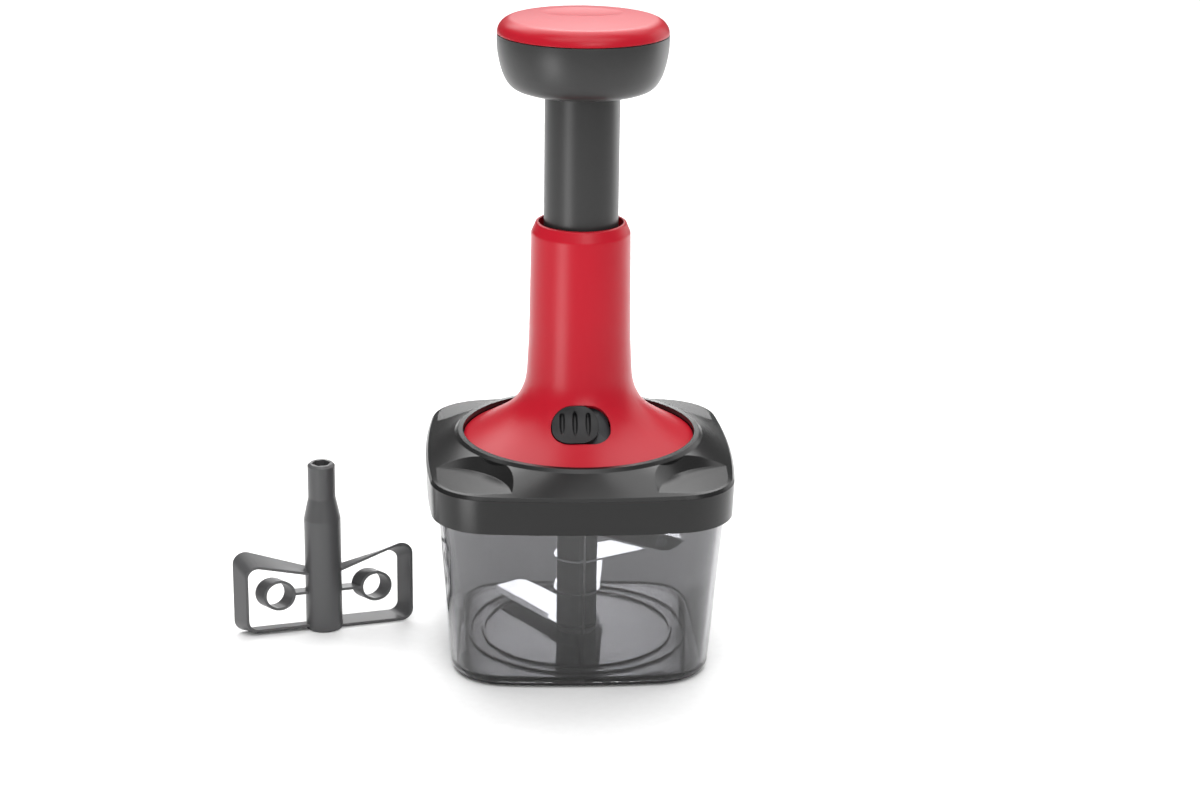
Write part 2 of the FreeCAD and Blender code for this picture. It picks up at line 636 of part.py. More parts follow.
def make_guide_bush():
    """Liner the tube slides in, relieved in the middle."""
    land = 8.0
    outer, inner, relief = SLEEVE_BORE_R - TINY, TUBE_R + RUNNING, TUBE_R + 0.9
    low, high = GUIDE_BOTTOM_Z, BORE_TOP_Z - 1
    return revolve_points([(inner, low), (outer, low), (outer, high), (inner, high), (inner, high - land),
                           (relief, high - land - 1), (relief, low + land + 1), (inner, low + land)])


def make_spring_seat():
    return tube(WELL_R - TINY, WASHER_R + 0.6, WELL_FLOOR_TOP_Z, WELL_FLOOR_TOP_Z + SPRING_SEAT_T)


def make_thrust_washer():
    return tube(WASHER_R, JOURNAL_R + 0.3, WELL_FLOOR_TOP_Z, WELL_FLOOR_TOP_Z + WASHER_T)


def make_return_spring():
    """Compression spring as a chain of leaning half rings, closed at both ends."""
    low = WELL_FLOOR_TOP_Z + SPRING_SEAT_T + SPRING_WIRE_R
    high = TUBE_BOTTOM_Z - NUT_FLANGE_H - SPRING_WIRE_R
    closed = SPRING_WIRE_R + TINY
    open_rise = (high - low - 4 * closed) / (2 * SPRING_COILS)
    rises = [closed] * 2 + [open_rise] * (2 * SPRING_COILS) + [closed] * 2
    z, pieces = low, []
    for index, rise in enumerate(rises):
        reach = math.hypot(SPRING_R, rise / 2)
        half_ring = Part.makeTorus(reach, SPRING_WIRE_R, Vector(0, 0, 0), Vector(0, 0, 1), -180, 180, 180)
        half_ring.rotate(Vector(0, 0, 0), Vector(0, 1, 0), math.degrees(math.atan2(rise / 2, SPRING_R)))
        half_ring.translate(Vector(0, 0, z + rise / 2))
        pieces.append(turned(half_ring, 180 * (index % 2)))
        z += rise
    return pieces[0].fuse(pieces[1:])


# ---- plunger body -------------------------------------------------------
TUBE_BORE_R = TUBE_R - TUBE_WALL
SCREW_BOSS_R = 5.0
SCREW_BOSS_H = 12.0


def make_plunger_tube():
    body = tube(TUBE_R, TUBE_BORE_R, TUBE_BOTTOM_Z, TUBE_TOP_Z)
    body = body.fuse(cylinder(TUBE_BORE_R + 0.5, TUBE_TOP_Z - TUBE_WEB, TUBE_TOP_Z))
    body = body.fuse(cylinder(SCREW_BOSS_R, TUBE_TOP_Z - SCREW_BOSS_H, TUBE_TOP_Z - TUBE_WEB))
    body = body.cut(cylinder(SCREW_R, TUBE_TOP_Z - SCREW_BOSS_H + 1, TUBE_TOP_Z + 1))
    return body.cut(nut_pin_holes(TINY)).removeSplitter()


def lobed_wire(grow, z):
    """Cross-section of the spiral: ROD_STARTS crests with straight flanks."""
    tip, root = ROD_TIP_R + grow, ROD_ROOT_R + grow
    share = 360.0 / ROD_STARTS
    tip_half = share * 0.15 + math.degrees(grow / tip)
    root_half = share * 0.17 - math.degrees(grow / root)

    def at(radius, degrees):
        a = math.radians(degrees)
        return Vector(radius * math.cos(a), radius * math.sin(a), z)

    edges = []
    for k in range(ROD_STARTS):
        mid, valley = share * k, share * (k + 0.5)
        edges.append(Part.Arc(at(tip, mid - tip_half), at(tip, mid), at(tip, mid + tip_half)).toShape())
        edges.append(Part.makeLine(at(tip, mid + tip_half), at(root, valley - root_half)))
        edges.append(Part.Arc(at(root, valley - root_half), at(root, valley),
                              at(root, valley + root_half)).toShape())
        edges.append(Part.makeLine(at(root, valley + root_half), at(tip, mid + share - tip_half)))
    return Part.Wire(edges)


def spiral(grow, low, high):
    """Twisted bar whose crests follow z = angle * LEAD / 360 for any low and high."""
    spine = Part.Wire(Part.makeLine(Vector(0, 0, low), Vector(0, 0, high)))
    guide = Part.makeHelix(LEAD, high - low, ROD_TIP_R)
    guide.translate(Vector(0, 0, low))
    sweep = Part.BRepOffsetAPI.MakePipeShell(spine)
    sweep.setAuxiliarySpine(Part.Wire(guide.Edges), True, 0)
    sweep.add(lobed_wire(grow, low), False, False)
    sweep.build()
    sweep.makeSolid()
    return turned(sweep.shape(), 360.0 * low / LEAD)


def make_spiral_nut():
    flange_low = TUBE_BOTTOM_Z - NUT_FLANGE_H
    nut = cylinder(TUBE_BORE_R - TINY, TUBE_BOTTOM_Z, TUBE_BOTTOM_Z + NUT_H)
    flange = cylinder(NUT_FLANGE_R, flange_low, TUBE_BOTTOM_Z)
    for azimuth in (0, 90):
        notch = block(KEY_RIB_R - 0.4, NUT_FLANGE_R + 1, -KEY_RIB_W / 2 - LOCK_FIT, KEY_RIB_W / 2 + LOCK_FIT,
                      flange_low - 1, TUBE_BOTTOM_Z + 1)
        flange = flange.cut(turned(notch, azimuth))
    nut = nut.fuse(flange).cut(spiral(THREAD_FIT, flange_low - 1, TUBE_BOTTOM_Z + NUT_H + 1))
    return nut.cut(nut_pin_holes(TINY))


def nut_pin_holes(grow):
    pins = []
    for azimuth in (45, 225):
        pin = Part.makeCylinder(NUT_PIN_R + grow, TUBE_R - ROD_TIP_R - 3.0 - 0.3 + grow,
                                Vector(ROD_TIP_R + 3.0, 0, TUBE_BOTTOM_Z + NUT_H / 2), Vector(1, 0, 0))
        pins.append(turned(pin, azimuth))
    return Part.makeCompound(pins)


def knob_wall_inside():
    return offset_profile(KNOB_BOWL, -KNOB_WALL)


def make_knob_shell():
    """Bowl-shaped underside of the knob, with the socket the tube screws into."""
    bottom_r, bottom_z = KNOB_BOWL[0]
    seam_r, seam_z = KNOB_BOWL[-1]
    inner = knob_wall_inside()
    inner[0] = (inner[0][0], bottom_z + KNOB_WALL)
    inner[-1] = (seam_r - KNOB_WALL, seam_z)
    web_low, web_high = TUBE_TOP_Z, TUBE_TOP_Z + 2.5
    edges = [line((TUBE_R + TINY, bottom_z), (bottom_r, bottom_z)), curve(KNOB_BOWL),
             line((seam_r, seam_z), inner[-1]), curve(inner[::-1])]
    socket_z = bottom_z + KNOB_WALL + 0.8
    profile = [inner[0], (KNOB_SOCKET_R, socket_z), (KNOB_SOCKET_R, web_high), (0, web_high),
               (0, web_low), (TUBE_R + TINY, web_low), (TUBE_R + TINY, bottom_z)]
    edges += [line(a, b) for a, b in zip(profile, profile[1:])]
    shell = revolve_wire(edges)
    for azimuth in range(0, 360, 60):
        rib = block(KNOB_SOCKET_R - 0.5, seam_r - 4.5, -0.8, 0.8, bottom_z + 1.5, web_high - 3)
        shell = shell.fuse(turned(rib, azimuth).common(knob_cavity()))
    return shell.cut(cylinder(SCREW_R + 0.2, web_low - 1, web_high + 1))


def knob_cavity():
    profile = [(0, KNOB_BOWL[0][1] + 1), (KNOB_BOWL[0][0], KNOB_BOWL[0][1] + 1)]
    curve_in = offset_profile(KNOB_BOWL, -KNOB_WALL * 0.6)[1:]
    top = (0, curve_in[-1][1])
    edges = [line(profile[0], profile[1]), line(profile[1], curve_in[0]), curve(curve_in),
             line(curve_in[-1], top), line(top, profile[0])]
    return revolve_wire(edges)


def cap_profile():
    """Outside of the cap from the seam over the rolled rim to the crown."""
    z = KNOB_SEAM_Z + CAP_GAP
    roll = [(KNOB_SEAM_R - inset, z + height) for inset, height in CAP_ROLL]
    return roll + [(KNOB_SEAM_R - CAP_RIM_INSET, KNOB_SEAM_Z + CAP_RISE)]


def make_knob_cap():
    z = KNOB_SEAM_Z + CAP_GAP
    outer = cap_profile()
    rim = outer[-1]
    crown = (0, rim[1] + CAP_CROWN)
    under_r = KNOB_SEAM_R - KNOB_WALL - CAP_PLUG_GAP
    plug_r = under_r - CAP_PLUG_T
    roof_z = rim[1] - CAP_T - 0.6
    halfway = Vector(rim[0] / 2, 0, rim[1] + CAP_CROWN * 0.78)
    top = [Vector(rim[0], 0, rim[1]), halfway, Vector(0, 0, crown[1])]
    profile = [crown, (0, roof_z), (plug_r - 2.5, roof_z), (plug_r, z + 2.2), (plug_r, z - CAP_PLUG_H),
               (under_r, z - CAP_PLUG_H), (under_r, z), outer[0]]
    edges = [line(a, b) for a, b in zip(profile, profile[1:])] + [curve(outer), Part.Arc(*top).toShape()]
    cap = revolve_wire(Part.__sortEdges__(edges))
    return cap.cut(cap_dish(rim[1] + CAP_CROWN))


def cap_dish(crown_z):
    """Shallow oval dish, part of a flattened ball."""
    ball_r = 10.0
    ball = Part.makeSphere(ball_r, Vector(0, 0, 0))
    sink = 0.55
    drop = DISH_DEPTH / (1 - math.sqrt(1 - sink ** 2))
    scale = Matrix()
    scale.scale(DISH_RX / (ball_r * sink), DISH_RY / (ball_r * sink), drop / ball_r)
    ball = ball.transformGeometry(scale)
    ball.translate(Vector(0, DISH_AT_Y, crown_z - DISH_DEPTH - 0.1 + drop))
    return ball


def make_knob_screw():
    return screw(0, 0, TUBE_TOP_Z + 2.5, 2.5 + SCREW_BOSS_H - 2, up=False)


# ---- spindle body -------------------------------------------------------
ROD_FLANGE_Z = WELL_FLOOR_TOP_Z + WASHER_T
BIT_TOP_Z = WELL_FLOOR_TOP_Z - WELL_FLOOR_T - 0.4


def make_spiral_rod():
    flange_top = ROD_FLANGE_Z + ROD_FLANGE_H
    rod = spiral(0.0, flange_top - 0.5, ROD_TOP_Z)
    rod = rod.fuse(cylinder(ROD_FLANGE_R, ROD_FLANGE_Z, flange_top))
    rod = rod.fuse(cylinder(JOURNAL_R, BIT_TOP_Z, ROD_FLANGE_Z))
    rod = rod.fuse(cylinder(ROD_ROOT_R - 0.6, ROD_TOP_Z - 0.5, ROD_TOP_Z + ROD_CAP_H))
    return rod.cut(cylinder(SCREW_R + TINY, BIT_TOP_Z - 1, ROD_FLANGE_Z + 10.5))


def make_rod_cap():
    disc = cylinder(ROD_CAP_R, ROD_TOP_Z, ROD_TOP_Z + ROD_CAP_H)
    disc = disc.makeChamfer(0.6, edges_at(disc, ROD_TOP_Z + ROD_CAP_H) + edges_at(disc, ROD_TOP_Z))
    return disc.cut(cylinder(ROD_ROOT_R - 0.6 + TINY, ROD_TOP_Z - 1, ROD_TOP_Z + ROD_CAP_H + 1))


def make_drive_bit():
    bit = hexagon(HEX_AF, BIT_BOTTOM_Z, BIT_TOP_Z - BIT_FLANGE_H + 0.5)
    bit = bit.fuse(cylinder(BIT_FLANGE_R, BIT_TOP_Z - BIT_FLANGE_H, BIT_TOP_Z))
    bit = bit.cut(cylinder(SCREW_HEAD_R + 0.1, BIT_BOTTOM_Z - 1, BIT_BOTTOM_Z + SCREW_HEAD_H + 0.3))
    return bit.cut(cylinder(SCREW_R + TINY, BIT_BOTTOM_Z - 1, BIT_TOP_Z + 1))


def make_bit_screw():
    seat = BIT_BOTTOM_Z + SCREW_HEAD_H + 0.3
    return screw(0, 0, seat, ROD_FLANGE_Z + 10 - seat)


# ---- lock body ----------------------------------------------------------
BOLT_Z = TUBE_BOTTOM_Z - STROKE + BOLT_LIFT


def stem_prism(grow, low, high, travel=0.0):
    half = LOCK_STEM_T / 2 + grow
    return window_frame(block(LOCK_STEM_LEFT - grow, LOCK_STEM_RIGHT + grow + travel, -half, half, low, high))


def make_lock_backplate():
    """Flat plate glued behind the window, with the slot the button's stem runs in."""
    high = -LOCK_BACK_DEPTH
    wide, tall = WINDOW_HIGH_X + LOCK_BACK_LAP, WINDOW_H / 2 + 2.0
    plate = window_frame(block(-wide, wide, -tall, tall, high - LOCK_BACK_T, high))
    return plate.common(housing_inside(TINY)).cut(stem_prism(LOCK_FIT, high - 4, high + 2, LOCK_TRAVEL))


def button_surface():
    """Solid of the flare grown outwards by the button's pride."""
    points = offset_profile(FLARE, -LOCK_PROUD)
    foot = (points[-1][0], DECK_TOP_Z)
    edges = [line((0, DECK_TOP_Z), (0, points[0][1])), line((0, points[0][1]), points[0]), curve(points),
             line(points[-1], foot), line(foot, (0, DECK_TOP_Z))]
    return revolve_wire(edges)


def make_lock_slider():
    right = WINDOW_HIGH_X - LOCK_TRAVEL - LOCK_FIT
    under = -LOCK_BACK_DEPTH + LOCK_FIT
    cap = window_prism(-LOCK_FIT, under, 9, WINDOW_LOW_X, right + LOCK_FIT)
    cap = cap.common(button_surface())
    for x, half in zip(GROOVE_X, GROOVE_HALF_LENGTHS):
        depth = groove_surface(x)
        bar = Part.makeCylinder(GROOVE_R, 2 * half, Vector(x, -half, depth), Vector(0, 1, 0))
        ends = [Part.makeSphere(GROOVE_R, Vector(x, side * half, depth)) for side in (-1, 1)]
        cap = cap.cut(window_frame(bar.fuse(ends[0]).fuse(ends[1])))
    stem = stem_prism(0, -10.0, under + 0.5)
    leg = block(LOCK_STEM_LEFT, LOCK_STEM_RIGHT, LEG_FRONT_Y, LEG_BACK_Y, BOLT_Z + BOLT_T, WINDOW_Z - 5.5)
    front, back = LEG_FRONT_Y - LOCK_STEM_T, LEG_BACK_Y + LOCK_STEM_T
    below = block(-BOLT_OUT_R, BOLT_OUT_R, front, back, 0, BOLT_Z + BOLT_T)
    button = cap.fuse(stem).fuse(leg).cut(below)
    pilot = cylinder(SCREW_R, BOLT_Z, BOLT_Z + BOLT_T + 4.5, BOLT_SCREW_X, BOLT_SCREW_Y)
    return button.cut(pilot).removeSplitter()


def groove_surface(x):
    """Height of the button's face over the window plane, at x from its middle."""
    middle_r = math.hypot(WINDOW_Y, 0)
    sag = middle_r - math.sqrt(middle_r ** 2 - x ** 2)
    return LOCK_PROUD - 1.2 - sag * math.sin(math.radians(WINDOW_LEAN))


def make_lock_bolt():
    """Flat steel yoke that slides over the nut's flange and holds the plunger down."""
    low, high = BOLT_Z, BOLT_Z + BOLT_T
    disc = cylinder(BOLT_OUT_R, low, high, -LOCK_TRAVEL)
    tongue = block(LOCK_STEM_LEFT, BOLT_RIGHT, LEG_FRONT_Y - 0.5, LEG_BACK_Y + 0.6, low, high)
    opening = cylinder(NUT_FLANGE_R + 0.6, low - 1, high + 1)
    clear = TUBE_R + 0.5
    opening = opening.fuse(cylinder(clear, low - 1, high + 1, -LOCK_TRAVEL))
    opening = opening.fuse(block(-LOCK_TRAVEL, 0, -clear, clear, low - 1, high + 1))
    keep = block(-2 * BOLT_OUT_R, BOLT_RIGHT, -2 * BOLT_OUT_R, BOLT_OUT_R / 3, low - 1, high + 1)
    bolt = disc.fuse(tongue).cut(opening).common(keep)
    return bolt.cut(cylinder(SCREW_R + 0.1, low - 1, high + 1, BOLT_SCREW_X, BOLT_SCREW_Y)).removeSplitter()


def make_bolt_screw():
    return screw(BOLT_SCREW_X, BOLT_SCREW_Y, BOLT_Z, BOLT_T + 4.0)


# ---- mixing paddle ------------------------------------------------------
def rounded_corner(before, corner, after, radius):
    """The two ends and the middle of the arc that rounds a corner."""
    u, v = (before - corner).normalize(), (after - corner).normalize()
    half = u.getAngle(v) / 2
    centre = corner + (u + v).normalize() * (radius / math.sin(half))
    reach = radius / math.tan(half)
    return corner + u * reach, centre + (corner - centre).normalize() * radius, corner + v * reach


def loop_wire(edge, inset):
    """Loop outline across the arm: edge is 1 at the leading face, -1 at the trailing one."""
    y = -edge * PADDLE_DEPTH / 2
    outer = PADDLE_REACH - y * math.tan(math.radians(PADDLE_SLANT)) - inset
    low = (1 - edge) * PADDLE_FOOT_TILT / 2 + inset
    root = PADDLE_ROOT_H + edge * PADDLE_ROOT_TILT / 2
    slope = (PADDLE_OUTER_H + edge * PADDLE_OUTER_TILT / 2 - root) / (PADDLE_REACH - PADDLE_R)
    rise = inset * math.sqrt(1 + slope ** 2)
    top_outer = root + slope * (outer - PADDLE_R) - rise
    top_inner = root - slope * PADDLE_R - rise
    a, b = Vector(0, y, low), Vector(outer, y, low)
    c, d = Vector(outer, y, top_outer), Vector(0, y, top_inner)
    foot = rounded_corner(a, b, c, PADDLE_ROUND - inset)
    head = rounded_corner(b, c, d, PADDLE_ROUND - inset)
    return Part.Wire([Part.makeLine(a, foot[0]), Part.Arc(*foot).toShape(), Part.makeLine(foot[2], head[0]),
                      Part.Arc(*head).toShape(), Part.makeLine(head[2], d), Part.makeLine(d, a)])


def across_arm(wire, depth):
    """Extrude an outline drawn at y = 0 along the slant, half to each side."""
    way = Vector(-depth * math.tan(math.radians(PADDLE_SLANT)), depth, 0)
    solid = Part.Face(wire).extrude(way)
    solid.translate(way * -0.5)
    return solid


def paddle_ring(radius, depth):
    centre = Vector(RING_AT, 0, RING_AT_Z)
    return across_arm(Part.Wire(Part.makeCircle(radius, centre, Vector(0, 1, 0))), depth)


def paddle_arm():
    frame = loft([loop_wire(-1, 0), loop_wire(1, 0)]).cut(
        loft([loop_wire(-1.3, PADDLE_STRIP), loop_wire(1.3, PADDLE_STRIP)]))
    low, high = RING_AT_Z - PADDLE_STRIP / 2, RING_AT_Z + PADDLE_STRIP / 2
    corners = ((0, low), (RING_AT, low), (RING_AT, high), (0, high), (0, low))
    bar = Part.makePolygon([Vector(x, 0, z) for x, z in corners])
    arm = frame.fuse(paddle_ring(RING_OUT_R, RING_DEPTH)).fuse(across_arm(bar, RING_DEPTH))
    return arm.cut(paddle_ring(RING_OUT_R - RING_WALL, 2 * RING_DEPTH))


def make_mixing_paddle():
    neck_z = PADDLE_H - PADDLE_NECK_H
    shaft = revolve_points([(0, 0), (PADDLE_R, 0), (PADDLE_R, neck_z - PADDLE_TAPER_H),
                            (PADDLE_NECK_R, neck_z), (PADDLE_NECK_R, PADDLE_H - PADDLE_RIM),
                            (PADDLE_NECK_R - PADDLE_RIM, PADDLE_H), (0, PADDLE_H)])
    arm = paddle_arm()
    core = cylinder(PADDLE_R - 0.5, -1, PADDLE_H)
    arms = arm.fuse(turned(arm, 180)).cut(core)
    paddle = shaft.fuse(arms)
    paddle = paddle.cut(hexagon(HEX_AF + HEX_FIT, PADDLE_H - HEX_DEPTH, PADDLE_H + 1))
    paddle = paddle.cut(cylinder(PIN_R + RUNNING, -1, PIN_TOP_Z))
    paddle = turned(paddle, PADDLE_YAW)
    paddle.translate(Vector(PADDLE_X, PADDLE_Y, 0))
    return paddle


save("bowl", make_bowl())
save("foot_band", make_foot_band())
save("pivot_pin", make_pivot_pin())

save("blade_shaft", make_blade_shaft())
save("shaft_bush", make_shaft_bush())
save("hub_spacers", make_hub_spacers())
save("hub_nut", make_hub_nut())
for number in range(BLADE_COUNT):
    save("blade_%d" % (number + 1), make_blade(number))

save("lid", make_lid())
save("seal", make_seal())
save("lid_cover", make_lid_cover())
save("cover_screws", make_cover_screws())
save("housing", make_housing())
save("housing_screws", make_housing_screws())
save("guide_bush", make_guide_bush())
save("lock_backplate", make_lock_backplate())
save("spring_seat", make_spring_seat())
save("thrust_washer", make_thrust_washer())
save("return_spring", make_return_spring())

save("plunger_tube", make_plunger_tube())
save("spiral_nut", make_spiral_nut())
save("nut_pins", nut_pin_holes(0.0))
save("knob_shell", make_knob_shell())
save("knob_cap", make_knob_cap())
save("knob_screw", make_knob_screw())

save("spiral_rod", make_spiral_rod())
save("rod_cap", make_rod_cap())
save("drive_bit", make_drive_bit())
save("bit_screw", make_bit_screw())

save("lock_slider", make_lock_slider())
save("lock_bolt", make_lock_bolt())
save("bolt_screw", make_bolt_screw())

save("mixing_paddle", make_mixing_paddle())
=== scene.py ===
import math

import bpy
from mathutils import Matrix, Vector


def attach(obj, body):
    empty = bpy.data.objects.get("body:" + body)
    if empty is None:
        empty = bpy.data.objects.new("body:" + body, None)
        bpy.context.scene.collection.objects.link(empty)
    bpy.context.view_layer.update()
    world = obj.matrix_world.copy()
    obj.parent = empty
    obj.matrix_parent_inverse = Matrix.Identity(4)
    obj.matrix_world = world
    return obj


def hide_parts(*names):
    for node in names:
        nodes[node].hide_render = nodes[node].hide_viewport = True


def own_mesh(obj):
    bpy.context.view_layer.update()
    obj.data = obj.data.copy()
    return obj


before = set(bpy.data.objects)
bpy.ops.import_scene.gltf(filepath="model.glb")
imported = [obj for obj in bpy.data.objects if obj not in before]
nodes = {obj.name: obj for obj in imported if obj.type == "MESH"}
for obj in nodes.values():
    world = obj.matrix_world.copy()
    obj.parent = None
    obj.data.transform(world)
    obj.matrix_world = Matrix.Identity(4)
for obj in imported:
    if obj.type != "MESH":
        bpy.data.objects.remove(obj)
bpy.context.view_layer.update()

MM = 0.001

# finishes
CLOUD_MM = 34                   # size of a flow cloud in moulded plastic
GRAIN_MM = 0.6
GRAIN_DEPTH_MM = 0.010
EDGE_MM = 0.45                  # radius to which moulded edges are shaded
MOULD_GLOSS_SPREAD = 0.02       # roughness either side of its mean
STEEL_GLOSS_SPREAD = 0.03
STEEL_STRETCH = 0.06            # the lines' width as a share of their length
STEEL_LINE_DEPTH_MM = 0.01
RIPPLE_MM = 22                  # flow ripples in the bowl's wall
RIPPLE_DEPTH_MM = 0.03
SEAM_HALF_MM = 0.45             # half width of the bowl's parting line
SEAM_HEIGHT_MM = 0.25

# studio
FLOOR_HALF = 4.0                # metres
FLOOR_DROP_MM = 0.4             # below the underside, so that the faces don't meet
WORLD_FRONT = 0.42              # brightness of the surround
WORLD_BACK = 0.15
WORLD_TURN = 0.7                # Y of a direction from which it is all back
FIBRE_MM = 4                    # mottle of the paper

# name, place, aim, width, height, radiance, spread in degrees
SOFT_BOXES = (
    ("overhead", (0.0, 1.05, 1.35), (0.0, 1.0, 0.0), 2.6, 1.7, 4.0, 115),
    ("table_top", (0.0, -0.05, 1.25), (0.0, -0.03, 0.0), 1.1, 0.7, 3.6, 44),
    ("front_top", (0.0, -0.60, 1.15), (0.0, 0.0, 0.10), 1.6, 0.5, 2.5, 180),
    ("backdrop", (-0.2, 1.50, 1.45), (0.0, 0.0, 0.10), 2.2, 0.8, 3.0, 180),
    ("cap_glow", (0.03, 0.45, 0.50), (0.0, 0.0, 0.28), 0.22, 0.34, 2.4, 50),
    ("key_front", (0.25, -1.35, 0.80), (0.0, 0.0, 0.22), 0.9, 0.6, 5.5, 45),
    ("strip_left", (-0.21, -0.215, 0.10), (0.0, 0.0, 0.21), 0.12, 0.22, 7.0, 50),
    ("rim_right", (0.66, 0.46, 0.35), (0.0, 0.0, 0.15), 0.5, 0.7, 1.2, 180),
    ("through_bowl", (0.016, 0.30, 0.145), (0.0, 0.0, 0.018), 0.36, 0.10, 19.0, 18),
)

# camera
IMAGE_WIDTH = 1200              # pixels
FOCAL_PIXELS = 2513.5
SENSOR_MM = 36.0
CLIP_NEAR, CLIP_FAR = 0.05, 50.0
CAMERA_MM = (-53.164, -1047.885, 463.249)
CAMERA_AHEAD = (0.05643519, 0.94757252, -0.31451772)
CAMERA_RIGHT = (0.99839871, -0.05478702, 0.01408554)


def linear(code):
    """An sRGB hex colour as linear RGBA."""
    values = [int(code[i:i + 2], 16) / 255 for i in (1, 3, 5)]
    return [v / 12.92 if v <= 0.04045 else ((v + 0.055) / 1.055) ** 2.4 for v in values] + [1.0]


def add(tree, kind, inputs=None, **settings):
    """Add one node; a socket given as an input is linked, anything else is set."""
    node = tree.nodes.new(kind)
    for name, value in settings.items():
        setattr(node, name, value)
    for name, value in (inputs or {}).items():
        if isinstance(value, bpy.types.NodeSocket):
            tree.links.new(value, node.inputs[name])
        else:
            node.inputs[name].default_value = value
    return node


def per_metre(size_mm):
    """Texture scale that gives features of this size."""
    return 1 / (size_mm * MM)


def new_material(name):
    material = bpy.data.materials.new(name)
    material.use_nodes = True
    material.node_tree.nodes.clear()
    return material, material.node_tree


def put_in_scene(name, data):
    item = bpy.data.objects.new(name, data)
    bpy.context.scene.collection.objects.link(item)
    return item


# ---- finishes -----------------------------------------------------------
def moulded(name, main, pale, roughness, shine=0.3):
    """Plastic or rubber from a mould: an even colour that pales a little in flow
    clouds, a soft sheen, and a faint orange-peel skin. The skin of such a
    moulding is finer than a pixel, so its grain is drawn coarser. Turned
    acetal looks the same at this size."""
    material, tree = new_material(name)
    place = add(tree, "ShaderNodeTexCoord").outputs["Object"]
    cloud = add(tree, "ShaderNodeTexNoise", {
        "Vector": place, "Scale": per_metre(CLOUD_MM), "Detail": 2.0})
    tone = add(tree, "ShaderNodeMix", {
        "Factor": cloud.outputs[0], 6: linear(main), 7: linear(pale)}, data_type="RGBA")
    gloss = add(tree, "ShaderNodeMapRange", {
        "Value": cloud.outputs[0], "From Min": 0.3, "From Max": 0.7,
        "To Min": roughness - MOULD_GLOSS_SPREAD, "To Max": roughness + MOULD_GLOSS_SPREAD})
    grain = add(tree, "ShaderNodeTexNoise", {
        "Vector": place, "Scale": per_metre(GRAIN_MM), "Detail": 3.0})
    edge = add(tree, "ShaderNodeBevel", {"Radius": EDGE_MM * MM}, samples=4)
    skin = add(tree, "ShaderNodeBump", {
        "Strength": 0.35, "Distance": GRAIN_DEPTH_MM * MM,
        "Height": grain.outputs[0], "Normal": edge.outputs[0]})
    shader = add(tree, "ShaderNodeBsdfPrincipled", {
        "Base Color": tone.outputs[2], "Roughness": gloss.outputs[0],
        "Normal": skin.outputs[0], "Specular IOR Level": shine})
    add(tree, "ShaderNodeOutputMaterial", {"Surface": shader.outputs[0]})
    return material


def san_clear(name):
    """Clear SAN tinted grey, a tint that is painted shade for the inside of the
    bowl under the dark lid: it greys what stands behind it, more through a corner than
    through one wall, and carries faint flow ripples and the fine parting line of its mould down
    the middle of its front and back."""
    material, tree = new_material(name)
    place = add(tree, "ShaderNodeTexCoord").outputs["Object"]
    ripple = add(tree, "ShaderNodeTexNoise", {
        "Vector": place, "Scale": per_metre(RIPPLE_MM), "Detail": 1.0})
    wave = add(tree, "ShaderNodeBump", {
        "Strength": 0.05, "Distance": RIPPLE_DEPTH_MM * MM, "Height": ripple.outputs[0]})
    across = add(tree, "ShaderNodeSeparateXYZ", {"Vector": place}).outputs[0]
    offset = add(tree, "ShaderNodeMath", {0: across}, operation="ABSOLUTE").outputs[0]
    ridge = add(tree, "ShaderNodeMapRange", {
        "Value": offset, "From Min": 0.0, "From Max": SEAM_HALF_MM * MM,
        "To Min": 1.0, "To Max": 0.0}, interpolation_type="SMOOTHSTEP")
    seam = add(tree, "ShaderNodeBump", {
        "Strength": 1.0, "Distance": SEAM_HEIGHT_MM * MM,
        "Height": ridge.outputs[0], "Normal": wave.outputs[0]})
    # the grey base colour is painted shade: the bowl itself is clear, and the tint darkens its
    # inside
    shader = add(tree, "ShaderNodeBsdfPrincipled", {
        "Base Color": linear("#969698"), "Roughness": 0.02, "IOR": 1.57,
        "Transmission Weight": 1.0, "Normal": seam.outputs[0]})
    add(tree, "ShaderNodeOutputMaterial", {"Surface": shader.outputs[0]})
    return material


def steel(name, main, pale, roughness, line_mm=0.5):
    """Steel with the fine lines of its working, which run from front to back on
    every piece and stretch the highlight. They are drawn wider than real ones."""
    material, tree = new_material(name)
    place = add(tree, "ShaderNodeTexCoord").outputs["Object"]
    stretch = add(tree, "ShaderNodeMapping", {"Vector": place, "Scale": (1.0, STEEL_STRETCH, 1.0)})
    lines = add(tree, "ShaderNodeTexNoise", {
        "Vector": stretch.outputs[0], "Scale": per_metre(line_mm), "Detail": 2.0})
    tone = add(tree, "ShaderNodeMix", {
        "Factor": lines.outputs[0], 6: linear(main), 7: linear(pale)}, data_type="RGBA")
    gloss = add(tree, "ShaderNodeMapRange", {
        "Value": lines.outputs[0],
        "To Min": roughness - STEEL_GLOSS_SPREAD, "To Max": roughness + STEEL_GLOSS_SPREAD})
    cut = add(tree, "ShaderNodeBump", {
        "Strength": 0.2, "Distance": STEEL_LINE_DEPTH_MM * MM, "Height": lines.outputs[0]})
    shader = add(tree, "ShaderNodeBsdfPrincipled", {
        "Base Color": tone.outputs[2], "Metallic": 1.0,
        "Roughness": gloss.outputs[0], "Normal": cut.outputs[0]})
    add(tree, "ShaderNodeOutputMaterial", {"Surface": shader.outputs[0]})
    return material


# saturated red with a soft broad sheen
red_abs = moulded("abs_red_moulded", "#af021d", "#b60420", 0.33, 0.34)
